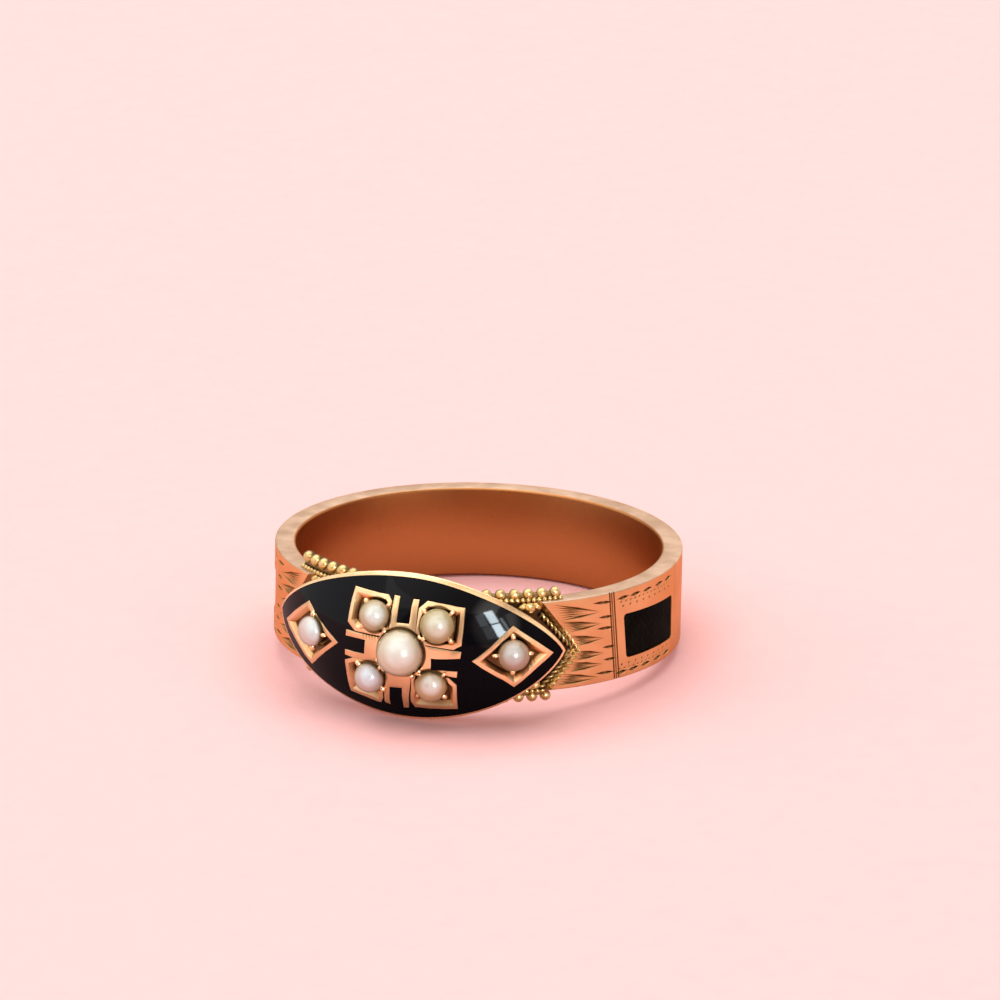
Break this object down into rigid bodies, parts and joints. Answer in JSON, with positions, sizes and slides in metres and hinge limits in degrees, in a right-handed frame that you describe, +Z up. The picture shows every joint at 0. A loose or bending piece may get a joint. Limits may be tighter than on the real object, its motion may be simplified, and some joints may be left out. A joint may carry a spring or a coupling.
{
  "type": "mourning ring",
  "caption": "Finger ring: gold band with inlaid panels, widening to a domed boat-shaped head of black enamel set with pearls.",
  "frame": {"origin": "on the finger axis, at the middle of the band's width; the ring lies on its side and rests on the lowest point of the head and the rear of the band", "axes": "+Z up; the head faces -Y and the finger axis leans back a few degrees from +Z towards +Y; +X is the viewer's right, looking at the head"},
  "size_m": [0.0196, 0.0225, 0.0073],
  "materials": {
    "rose_gold": "rose gold, satin outside and polished on the rim and cells, with darker engraved cuts",
    "black_enamel": "glossy opaque black enamel",
    "pearl": "white to cream pearl lustre",
    "hair": "near-black plaited hair under a glossy surface"
  },
  "bodies": {
    "root": {"gold_ring": "rose_gold", "enamel_field": "black_enamel", "centre_pearl": "pearl", "top_left_pearl": "pearl", "top_right_pearl": "pearl", "bottom_left_pearl": "pearl", "bottom_right_pearl": "pearl", "left_pearl": "pearl", "right_pearl": "pearl", "left_hair_panel": "hair", "right_hair_panel": "hair"}
  },
  "joints": []
}
